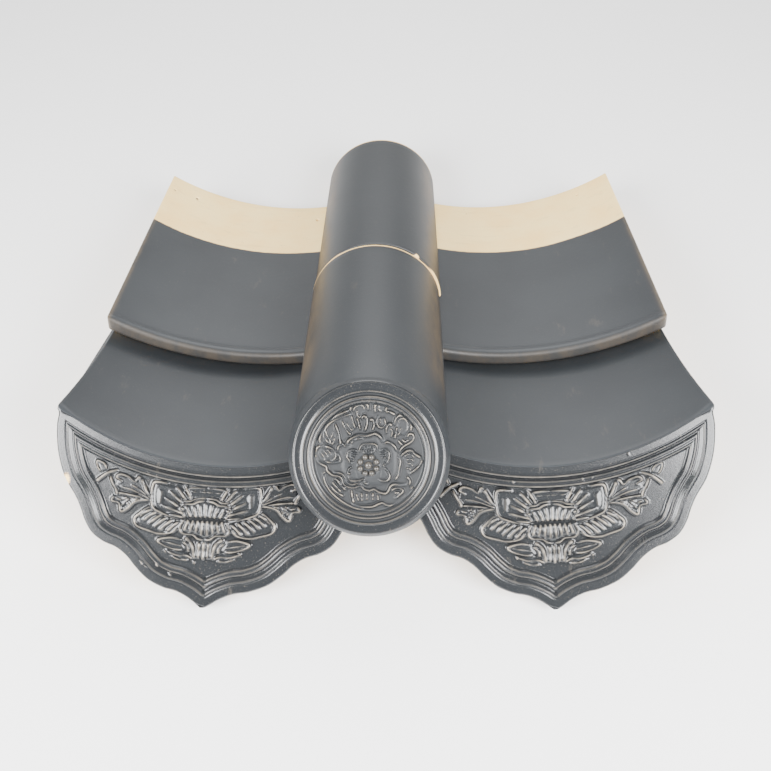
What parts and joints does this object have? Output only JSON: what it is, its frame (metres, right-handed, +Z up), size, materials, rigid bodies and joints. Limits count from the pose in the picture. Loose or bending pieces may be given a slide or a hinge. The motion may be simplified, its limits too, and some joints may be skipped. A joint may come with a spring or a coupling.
{
  "type": "decorative eave roof tile set",
  "caption": "Laid set of glazed clay roof tiles: concave pans, drip tiles with wavy floral faces and a half-round cover row closed by a flower disc.",
  "frame": {"origin": "centre of the bounding box at ground level, where the tips of the drip tiles and the rear ends of the pan tiles stand", "axes": "+Z up, -Y towards the eave, where the disc and the pendant faces look, +X to the right seen from the eave"},
  "size_m": [0.544, 0.5974, 0.162],
  "materials": {
    "glazed_clay": "satin slate-grey glaze over pale clay, bare clay at the rear strips"
  },
  "bodies": {
    "root": {"left_drip_tile": "glazed_clay", "right_drip_tile": "glazed_clay", "left_pan_tile": "glazed_clay", "right_pan_tile": "glazed_clay", "eave_cover_tile": "glazed_clay", "rear_cover_tile": "glazed_clay"}
  },
  "joints": []
}
